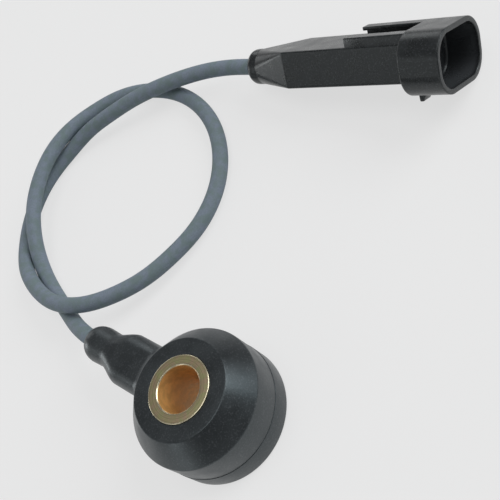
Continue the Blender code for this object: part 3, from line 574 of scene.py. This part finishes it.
def sections(half_w, half_h, corner):
    """Round-cornered rectangles, one a station, as (stations, points round, 2). A corner is an arc
    from 5 to 85 degrees about a centre set in by its radius, and each side is a few points between
    two arcs, so a corner as large as the half size gives a circle."""
    half_w, half_h, corner = (column[:, None] for column in np.atleast_1d(half_w, half_h, corner))
    corner = np.minimum(corner, np.minimum(half_w, half_h))
    arcs = []
    for quarter, (sx, sy) in enumerate(((1, 1), (-1, 1), (-1, -1), (1, -1))):
        angle = np.radians(90 * quarter + np.linspace(5.0, 85.0, CORNER_STEPS))[None, :]
        x = sx * (half_w - corner) + corner * np.cos(angle)
        y = sy * (half_h - corner) + corner * np.sin(angle)
        arcs.append(stacked(x, y))
    pieces = []
    for arc, following in zip(arcs, arcs[1:] + arcs[:1]):
        start, end = arc[:, -1:], following[:, :1]
        share = np.array(EDGE_SHARES)[None, :, None]
        pieces += [arc, start + (end - start) * share]
    return np.concatenate(pieces, axis=1)


def head_radius(z, head):
    """Outer radius of the head at heights z: the band, the waist above its step, then the sloping
    shoulder, which falls in a straight line to the face's edge."""
    slope = (head.waist_d - head.face_d) / 2 / head.shoulder_h
    shoulder = head.waist_d / 2 - slope * np.clip(z - (head.face_z - head.shoulder_h), 0.0, None)
    return np.where(z < head.step_z, head.band_d / 2, shoulder)


def half_width(node):
    """Half the width of a CAD node."""
    low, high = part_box(node)
    return (high.x - low.x) / 2


def head_shell(head):
    """The head's moulding: its closed profile, open inside for the stack, turned about the bore."""
    hole = head.sleeve_d / 2 + SEAM
    top = head.face_z
    band = head.band_d / 2
    waist = head.waist_d / 2
    groove = waist - head.groove
    stack = half_width("seismic_mass") + GAP
    nut = half_width("ring_nut") + GAP
    spring_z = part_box("disc_spring")[0].z
    roof_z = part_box("ring_nut")[1].z + GAP
    flange = head.flange_d / 2 + GAP
    flange_z = head.flange_t + GAP
    corners = [
        (hole, top, FINE), (head.face_d / 2, top, head.face_round),
        (waist, top - head.shoulder_h, head.shoulder_round),
        (waist, head.step_z + head.groove, FINE), (groove, head.step_z + head.groove / 2, 0.5 * FINE),
        (groove, head.step_z, 0.5 * FINE), (band, head.step_z - head.groove / 2, FINE),
        (band, GAP, head.foot_round), (flange, GAP, FINE), (flange, flange_z, FINE),
        (stack, flange_z, FINE), (stack, spring_z, FINE), (nut, spring_z + GAP, FINE),
        (nut, roof_z, FINE), (hole, roof_z, FINE),
    ]
    return spun(rounded_profile(corners))


def neck_shell(head, cable_d):
    """The neck: sections carried along y from the head's fillet, over the block and the boot, round
    the dome and back inside along the cable's hole. The fillet's rings lie on a quadratic curve for
    each point round: (1 - s)^2 A + 2 s (1 - s) P + s^2 B, where P is where that point's line meets
    the head, A is the fillet's length out along the line, and B is as far off across the head. From
    the block to the boot the sizes change half in a straight line and half in a smooth step."""
    section = sections(head.block_w / 2, head.block_h / 2, head.block_corner)[0]
    along = np.roll(section, -1, axis=0) - np.roll(section, 1, axis=0)
    normal = unit(stacked(along[:, 1], -along[:, 0]))
    x, z = section[:, 0], head.neck_z + section[:, 1]
    meet = np.sqrt(head_radius(z, head) ** 2 - x ** 2)
    reach = head.root_fillet
    bx, bz = x + normal[:, 0] * reach, z + normal[:, 1] * reach
    by = np.sqrt(head_radius(bz, head) ** 2 - bx ** 2) - FILLET_SINK
    a = stacked(x, meet + reach, z)
    p = stacked(x, meet, z)
    b = stacked(bx, by, bz)
    s = np.linspace(1.0, 0.0, FILLET_RINGS)[:, None, None]
    fillet = (1 - s) ** 2 * a + 2 * s * (1 - s) * p + s ** 2 * b

    def hidden(x, y, z, share):
        """A ring inside the head, drawn in to a share of its size about the neck's axis."""
        return stacked(x * share, y, head.neck_z + (z - head.neck_z) * share)[None]

    sunk = hidden(bx, by - NECK_SINK, bz, 0.9)
    root = hidden(x, NECK_ROOT, z, 0.5)
    blend = np.linspace(0.0, 1.0, BLOCK_RINGS)
    ease = blend * blend * (3 - 2 * blend) * 0.5 + blend * 0.5
    end = EXIT_Y - BORE_Y
    dome_start = end - head.boot_dome
    hole = cable_d / 2 + CABLE_FIT
    angle = np.radians(np.linspace(0.0, 90.0, DOME_RINGS))
    stations = np.concatenate((
        [head.block_end - BLOCK_LEAD], head.block_end + (head.boot_start - head.block_end) * blend,
        np.linspace(head.boot_start, dome_start, 6)[1:-1], dome_start + head.boot_dome * np.sin(angle),
        [end - HOLE_LEAD, end - JACKET_IN_NECK]))

    def sized(block):
        """One half size at every station: the block's, then the waist's, the boot's and the hole's."""
        swell = head.boot_waist + (head.boot_r - head.boot_waist) * np.linspace(0.0, 1.0, 6)[1:-1]
        dome = hole + (head.boot_r - hole) * np.cos(angle)
        narrowing = block + (head.boot_waist - block) * ease
        return np.concatenate(([block], narrowing, swell, dome, [hole, hole]))

    flat = sections(*map(sized, (head.block_w / 2, head.block_h / 2, head.block_corner)))
    outer = stacked(flat[..., 0], stations[:, None], head.neck_z + flat[..., 1])
    return capped(np.concatenate((root, sunk, fillet, outer)) + (0.0, BORE_Y, 0.0))


def sleeve_shell(head):
    """The flanged sleeve: its closed profile, chamfered at both ends, turned about the bore."""
    bore, sleeve, flange = head.bore_d / 2, head.sleeve_d / 2, head.flange_d / 2
    chamfer = head.bore_chamfer
    top = SLEEVE_HIGH.z
    corners = [
        (bore, chamfer, FINE), (bore + chamfer, 0.0, FINE), (flange, 0.0, 0.3 * MM),
        (flange, head.flange_t, 0.1 * MM), (sleeve, head.flange_t, FINE), (sleeve, top, 0.15 * MM),
        (bore + chamfer, top, FINE), (bore, top - chamfer, FINE),
    ]
    return spun(rounded_profile(corners))


def smooth_curve(points, count):
    """Evenly spaced points on the natural cubic spline through the given points: between two of
    them the curve is their straight line plus a cubic share of the bends solved at both."""
    pts = np.array(points, float)
    t = run_along(pts)
    h = np.diff(t)
    n = len(t)
    system = np.eye(n)
    rhs = np.zeros((n, 3))
    rows = np.arange(1, n - 1)
    system[rows, rows - 1] = h[:-1]
    system[rows, rows] = 2 * (h[:-1] + h[1:])
    system[rows, rows + 1] = h[1:]
    slopes = np.diff(pts, axis=0) / h[:, None]
    rhs[1:-1] = 6 * np.diff(slopes, axis=0)
    bend = np.linalg.solve(system, rhs)
    u = np.linspace(0.0, t[-1], 20 * count)
    i = np.clip(np.searchsorted(t, u) - 1, 0, n - 2)
    a = ((t[i + 1] - u) / h[i])[:, None]
    b = 1.0 - a
    bulge = ((a**3 - a) * bend[i] + (b**3 - b) * bend[i + 1]) * (h[i]**2)[:, None] / 6
    dense = a * pts[i] + b * pts[i + 1] + bulge
    run = run_along(dense)
    even = np.linspace(0.0, run[-1], count)
    return np.column_stack([np.interp(even, run, dense[:, k]) for k in range(3)])


def in_place(points):
    """Points of the plug's own frame put where the plug lies: rolled, tilted and headed about its
    cable end, and moved there."""
    end = Vector((PLUG_END[0] * MM, EXIT_Y + PLUG_END[1] * MM, PLUG_END[2] * MM))
    turn = Matrix.Rotation(radians(PLUG_HEADING), 4, "Z")
    tilt = Matrix.Rotation(-radians(PLUG_TILT), 4, "Y")
    roll = Matrix.Rotation(radians(PLUG_ROLL), 4, "X")
    pose = np.array(Matrix.Translation(end) @ turn @ tilt @ roll)
    return np.asarray(points) @ pose[:3, :3].T + pose[:3, 3]


def cable_line(head):
    """The cable's centreline, from inside the neck along its route to inside the plug."""
    inside_neck = [(0.0, EXIT_Y - JACKET_IN_NECK * share, head.neck_z) for share in (1.0, 0.5)]
    route = [(x * MM, EXIT_Y + y * MM, z * MM) for x, y, z in ROUTE]
    in_plug = in_place([(JACKET_IN_PLUG * share, 0.0, 0.0) for share in (0.0, 0.5, 1.0)])
    return smooth_curve(inside_neck + route + in_plug.tolist(), CABLE_RINGS)


def tube_shell(line, radius):
    """A round tube: each ring is the line's point plus radius times (cos t side + sin t up), where
    side is across the run and level, and up is square to both."""
    run = unit(np.gradient(line, axis=0))
    side = unit(np.cross(run, (0.0, 0.0, 1.0)))
    up = np.cross(side, run)
    t = np.linspace(0.0, 2 * pi, CABLE_SIDES, endpoint=False)[None, :, None]
    grid = line[:, None] + radius * (np.cos(t) * side[:, None] + np.sin(t) * up[:, None])
    return capped(grid)


def set_tube_uv(mesh, line):
    """UV of a tube: u is the run in metres and v the share of the way round, from the ring and the
    side that each corner lies on."""
    ring, side = divmod(whole_numbers(mesh.loops, "vertex_index"), CABLE_SIDES)
    run = run_along(line)
    run = np.r_[0.0, run, run[-1]]
    starts = whole_numbers(mesh.polygons, "loop_start")
    totals = whole_numbers(mesh.polygons, "loop_total")
    low = np.minimum.reduceat(side, starts)
    high = np.maximum.reduceat(side, starts)
    wraps = np.repeat((high - low > CABLE_SIDES / 2) & (totals == 4), totals)
    around = np.where(wraps & (side == 0), CABLE_SIDES, side) / CABLE_SIDES
    layer = mesh.uv_layers.new(name="run")
    layer.data.foreach_set("uv", np.column_stack((run[ring], around)).astype(np.float32).ravel())


def plug_shell(plug, cable_d):
    """The plug's moulding: sections carried along its axis over the rounded end, cone, body and mouth
    end, then back inside along the mouth, the pocket and the cable's hole, which joins the first ring.
    The cone's sections go from round to the body's in even shares of the way. Gives the shell, and
    how many of its points lie outside the mouth: these come first."""
    hole = cable_d / 2 + CABLE_FIT
    step = plug.total - plug.shroud_l
    mouth = plug.total
    rows = []

    def add(x, half_w, half_h, corner, lift=0.0):
        """One ring for each x: how far along, half sizes, corner and lift."""
        rows.append(stacked(*np.atleast_1d(x, half_w, half_h, corner, lift)))

    def add_round(x, radius):
        """Round rings."""
        add(x, radius, radius, radius)

    turn = np.radians(np.linspace(90.0, 0.0, COLLAR_RINGS))
    swell = hole + (plug.collar_r - hole) * np.cos(turn) ** 0.5
    add_round(COLLAR_ROUND * plug.collar_l * (1 - np.sin(turn)), swell)
    add_round(plug.collar_l, plug.collar_r)
    share = np.linspace(0.0, 1.0, CONE_RINGS)[:, None]
    stem = np.array((plug.stem_end, plug.stem_r, plug.stem_r, plug.stem_r, 0.0))
    body = np.array((plug.body_start, plug.body_w / 2, plug.body_h / 2, plug.body_corner, plug.body_lift))
    add(*(stem + (body - stem) * share).T)
    add(np.linspace(plug.body_start + GAP, step, 8), *body[1:])
    shroud = np.array((plug.shroud_w / 2, plug.shroud_h / 2, plug.shroud_corner))[:, None]
    opening = shroud - plug.shroud_wall
    turn = np.radians(np.linspace(0.0, 90.0, EDGE_RINGS))
    rise, fall = 1 - np.cos(turn), 1 - np.sin(turn)
    add(step + SHROUD_EDGE * rise, *(shroud - SHROUD_EDGE * fall))
    add(np.linspace(step + SHROUD_EDGE + GAP, mouth - 2 * GAP, 4), *shroud)
    add(mouth - LIP_ROUND * fall, *(shroud - LIP_ROUND * rise))
    add(mouth - LIP_ROUND * rise, *(opening + LIP_ROUND * fall))
    outside = sum(map(len, rows))
    floor = step + plug.shroud_floor
    pocket = np.array((plug.pocket_w / 2, plug.pocket_h / 2, plug.pocket_corner))[:, None]
    add([mouth - 4 * GAP, floor + GAP], *opening)
    add(floor, *(opening - GAP))
    add(floor, *(pocket + FINE))
    add([floor - FINE, floor - POCKET_L], *pocket)
    add([floor - POCKET_L, floor - POCKET_L - CHAMBER_L], *CHAMBER)
    add_round(floor - POCKET_L - CHAMBER_L, hole)
    table = np.concatenate(rows)
    flat = sections(*table[:, 1:4].T)
    run, lift = table[:, 0, None], table[:, 4, None]
    grid = stacked(run, flat[..., 0], flat[..., 1] + lift)
    points, quads = lofted(in_place(grid), closed=True)
    return (points, [quads]), outside * flat.shape[1]


def carried(outline, stations):
    """A closed outline carried along the plug's axis, its end rings drawn in by their edge rounding.
    Stations are (x, inset) pairs, and an inset ring is the outline moved towards its middle."""
    middle = outline.mean(axis=0)
    span = np.abs(outline - middle).max(axis=0)
    rings = []
    for x, inset in stations:
        moved = middle + (outline - middle) * (1 - inset / span)
        rings.append(stacked(x, moved[:, 0], moved[:, 1]))
    return capped(in_place(np.array(rings)))


def rail_shells(plug, side):
    """One rail in two bars: a wall up from the body's edge, and a lip towards the middle. The far
    rail's lip runs past its wall as a hook. A bar's end is rounded by three rings."""
    foot = plug.body_lift + plug.body_h / 2 - plug.body_corner - RAIL_SINK
    bend = plug.rail_out - plug.rail_wall
    under = plug.rail_top - RAIL_LIP_T
    step = plug.total - plug.shroud_l
    start = step - (plug.far_rail_l if side > 0 else plug.rail_l)
    end = step + plug.shroud_floor / 2
    hook = plug.rail_hook if side > 0 else 0.0
    edge = RAIL_ROUND

    def bar(outer, inner, low, high, at):
        """One bar from its round end at a place to the mouth end."""
        corners = ((outer, low, edge), (outer, high, 2 * edge), (inner, high, edge), (inner, low, edge))
        outline = rounded_profile([(side * y, z, radius) for y, z, radius in corners])
        return carried(outline, ((at, edge), (at + 0.3 * edge, 0.3 * edge), (at + edge, 0.0), (end, 0.0)))

    wall = bar(plug.rail_out, bend, foot, plug.rail_top, start)
    top = plug.rail_top - RAIL_LIP_DOWN
    lip = bar(plug.rail_out - RAIL_LIP_IN, plug.rail_lip, under, top, start - hook)
    return [wall, lip]


def catch_shell(plug):
    """The catch below the mouth end: a side outline, a ramp towards the mouth with a steep back,
    carried across the plug and smaller at both ends."""
    rear = plug.total - plug.shroud_l - CATCH_BACK
    base = plug.shroud_h / 2 - plug.shroud_wall / 2
    tip = plug.shroud_h / 2 + plug.catch_h
    outline = rounded_profile([
        (rear, -base, 0.1 * MM), (rear + CATCH_LEAN, -tip, 0.2 * MM),
        (rear + CATCH_TIP, -tip, 0.3 * MM), (rear + plug.catch_l, -base, 0.1 * MM),
    ])
    middle = outline.mean(axis=0)
    rings = []
    for y, share in CATCH_RINGS:
        moved = middle + (outline - middle) * share
        rings.append(stacked(moved[:, 0], plug.catch_y + y * plug.catch_w, moved[:, 1]))
    return capped(in_place(np.array(rings)))


def dress(names, mat):
    """Give CAD nodes a material in all their slots."""
    for name in names:
        slots = NODES[name].material_slots
        for slot in slots:
            slot.material = mat
        if not slots:
            NODES[name].data.materials.append(mat)


class KNOCK_OT_cable(bpy.types.Operator):
    """Make the cable along its route."""
    bl_idname = "knock.cable"
    bl_label = "Cable"

    def execute(self, context):
        scene = context.scene
        line = cable_line(scene.knock_head)
        radius = scene.knock_cable.diameter / 2
        mat = jacket("cable_jacket", scene.knock_finish.cable)
        obj = piece("cable_jacket", [tube_shell(line, radius)], mat, ["cable"], smooth=60.0)
        set_tube_uv(obj.data, line)
        return {"FINISHED"}


class KNOCK_OT_head(bpy.types.Operator):
    """Make the moulded head with its neck."""
    bl_idname = "knock.head"
    bl_label = "Head and neck"

    def execute(self, context):
        scene = context.scene
        head = scene.knock_head
        mat = moulded_plastic("housing_plastic", scene.knock_finish.housing, roughness=0.36,
                              gloss=(0.80, 0.95, 1.0), shine=0.78)
        shells = [head_shell(head), neck_shell(head, scene.knock_cable.diameter)]
        piece("head_moulding", shells, mat, ["sensor_housing"])
        return {"FINISHED"}


class KNOCK_OT_sleeve(bpy.types.Operator):
    """Make the metal sleeve round the bore."""
    bl_idname = "knock.sleeve"
    bl_label = "Sleeve"

    def execute(self, context):
        head = context.scene.knock_head
        finish = context.scene.knock_finish
        mat = turned_metal("sleeve_metal", finish.sleeve, roughness=0.42,
                           shades=(finish.sleeve_rosy, finish.sleeve_green), worn=finish.bore,
                           radii=(head.bore_d / 2, head.sleeve_d / 2))
        piece("bolt_sleeve", [sleeve_shell(head)], mat, ["base_sleeve"])
        return {"FINISHED"}


class KNOCK_OT_plug(bpy.types.Operator):
    """Make the plug's moulding with its rails and its catch."""
    bl_idname = "knock.plug"
    bl_label = "Plug"

    def execute(self, context):
        scene = context.scene
        plug = scene.knock_plug
        mat = moulded_plastic("plug_plastic", scene.knock_finish.plug, roughness=0.28,
                              gloss=(0.92, 0.99, 1.0))
        body, outside = plug_shell(plug, scene.knock_cable.diameter)
        shells = [body, catch_shell(plug)] + rail_shells(plug, -1) + rail_shells(plug, 1)
        obj = piece("plug_moulding", shells, mat, ["plug_housing"])
        # the mouth's inside is marked for the material's painted light, a lighter colour there
        inside = np.zeros(len(obj.data.vertices), np.float32)
        inside[outside:len(body[0])] = 1.0
        obj.data.attributes.new("inside", "FLOAT", "POINT").data.foreach_set("value", inside)
        return {"FINISHED"}


class KNOCK_OT_inner(bpy.types.Operator):
    """Give the pieces inside the head and the plug their finishes."""
    bl_idname = "knock.inner"
    bl_label = "Inner pieces"

    def execute(self, context):
        finish = context.scene.knock_finish
        dress(["insulating_tube", "lower_insulator", "upper_insulator"],
              plain_solid("insulating_film", finish.film, roughness=0.4, scale=900.0))
        dress(["lower_contact", "upper_contact", "ground_splice", "signal_splice"],
              stamped_metal("contact_metal", finish.contact, roughness=0.3))
        dress(["piezo_ring"], plain_solid("ceramic", finish.ceramic, roughness=0.6, scale=2600.0))
        dress(["seismic_mass", "disc_spring", "ring_nut"],
              turned_metal("steel", finish.steel, roughness=0.32))
        dress(["ground_wire_head_end", "ground_wire_plug_end"],
              plain_solid("ground_core", finish.ground, roughness=0.45, scale=1500.0))
        dress(["signal_wire_head_end", "signal_wire_plug_end"],
              plain_solid("signal_core", finish.signal, roughness=0.45, scale=1500.0))
        carrier = scaled(finish.plug, 1.3)
        dress(["terminal_carrier"],
              moulded_plastic("carrier_plastic", carrier, roughness=0.5, gloss=WHITE))
        dress(["ground_terminal", "signal_terminal"],
              stamped_metal("terminal_metal", finish.terminal, roughness=0.25))
        return {"FINISHED"}


class KNOCK_OT_stage(bpy.types.Operator):
    """Make the floor, the light and the camera."""
    bl_idname = "knock.stage"
    bl_label = "Stage"

    def execute(self, context):
        scene = context.scene
        stage = scene.knock_stage
        scene.view_settings.view_transform = "Standard"
        make_floor(stage)
        make_world(scene, stage)
        for lamp in LAMPS:
            make_lamp(*lamp)
        make_camera(scene, stage)
        return {"FINISHED"}


def make_floor(stage):
    """A flat pale floor: part diffuse, for the shadow, and part plain colour for the camera and for
    reflections, for an even tone."""
    mesh = bpy.data.meshes.new("floor")
    side = FLOOR_SIDE / 2
    corners = [(-side, -side, 0), (side, -side, 0), (side, side, 0), (-side, side, 0)]
    mesh.from_pydata(corners, [], [(0, 1, 2, 3)])
    floor = linked("floor", mesh)
    mat, tree, shader = new_material("pale_floor")
    fill(tree, shader, {"Base Color": (*stage.floor, 1.0), "Roughness": 0.9, "Specular IOR Level": 0.0})
    even = add_node(tree, "ShaderNodeEmission", {"Color": (*stage.floor, 1.0), "Strength": 1.0})
    ray = add_node(tree, "ShaderNodeLightPath").outputs
    seen = math_node(tree, "ADD", ray["Is Camera Ray"], ray["Is Glossy Ray"])
    seen = math_node(tree, "ADD", seen, ray["Is Transmission Ray"])
    share = math_node(tree, "MULTIPLY", seen, stage.even)
    both = add_node(tree, "ShaderNodeMixShader", {0: share, 1: shader.outputs[0], 2: even.outputs[0]})
    tree.links.new(both.outputs[0], tree.nodes["Material Output"].inputs["Surface"])
    mesh.materials.append(mat)


def make_world(scene, stage):
    """Even light from all round."""
    world = bpy.data.worlds.new("studio")
    scene.world = world
    world.use_nodes = True
    light = world.node_tree.nodes["Background"]
    light.inputs["Color"].default_value = (*SKY_COLOUR, 1.0)
    light.inputs["Strength"].default_value = stage.sky


def make_lamp(name, towards, spread, brightness, rgb):
    """A square soft lamp that stands off in a direction and faces the middle. Its power is pi times
    its area times the brightness that a mirror would show of it."""
    lamp = bpy.data.lights.new(name, "AREA")
    lamp.shape = "SQUARE"
    lamp.size = spread * LAMP_DISTANCE
    lamp.energy = pi * lamp.size ** 2 * brightness
    lamp.color = rgb
    obj = linked(name, lamp)
    direction = Vector(towards).normalized()
    obj.location = Vector(LAMP_MIDDLE) + direction * LAMP_DISTANCE
    obj.rotation_euler = direction.to_track_quat("Z", "Y").to_euler()


def make_camera(scene, stage):
    """The camera at the photograph's angle, turned about its view."""
    data = bpy.data.cameras.new("camera")
    data.lens = stage.lens
    data.sensor_width = SENSOR_WIDTH
    data.clip_start = CLIP_START
    camera = linked("camera", data)
    view = Vector(stage.camera_aim) - Vector(stage.camera_at)
    upright = view.to_track_quat("-Z", "Y")
    camera.rotation_mode = "QUATERNION"
    camera.rotation_quaternion = Quaternion(view.normalized(), stage.camera_roll) @ upright
    camera.location = stage.camera_at
    scene.camera = camera


class KNOCK_PT_sidebar(bpy.types.Panel):
    """Sizes, finishes and the pieces to build."""
    bl_label = "Knock sensor"
    bl_idname = "KNOCK_PT_sidebar"
    bl_space_type = "VIEW_3D"
    bl_region_type = "UI"
    bl_category = "Knock sensor"

    def draw(self, context):
        for name, group in GROUPS:
            box = self.layout.box()
            box.label(text=group.__doc__)
            settings = getattr(context.scene, name)
            for key in group.__annotations__:
                box.prop(settings, key)
        for operator in OPERATORS:
            self.layout.operator(operator.bl_idname)


GROUPS = (
    ("knock_head", KNOCK_PG_head),
    ("knock_cable", KNOCK_PG_cable),
    ("knock_plug", KNOCK_PG_plug),
    ("knock_finish", KNOCK_PG_finish),
    ("knock_stage", KNOCK_PG_stage),
)
OPERATORS = (KNOCK_OT_stage, KNOCK_OT_cable, KNOCK_OT_head, KNOCK_OT_sleeve, KNOCK_OT_plug, KNOCK_OT_inner)


def register():
    """Add the settings, the operators and the panel."""
    for name, group in GROUPS:
        bpy.utils.register_class(group)
        setattr(bpy.types.Scene, name, PointerProperty(type=group))
    for cls in (*OPERATORS, KNOCK_PT_sidebar):
        bpy.utils.register_class(cls)


def unregister():
    """Take them away again."""
    for cls in reversed((*OPERATORS, KNOCK_PT_sidebar)):
        bpy.utils.unregister_class(cls)
    for name, group in reversed(GROUPS):
        delattr(bpy.types.Scene, name)
        bpy.utils.unregister_class(group)


def main():
    register()
    bpy.ops.knock.stage()
    bpy.ops.knock.cable()
    bpy.ops.knock.head()
    bpy.ops.knock.sleeve()
    bpy.ops.knock.plug()
    bpy.ops.knock.inner()
    scene = bpy.context.scene
    line = cable_line(scene.knock_head)


if __name__ == "__main__":
    main()
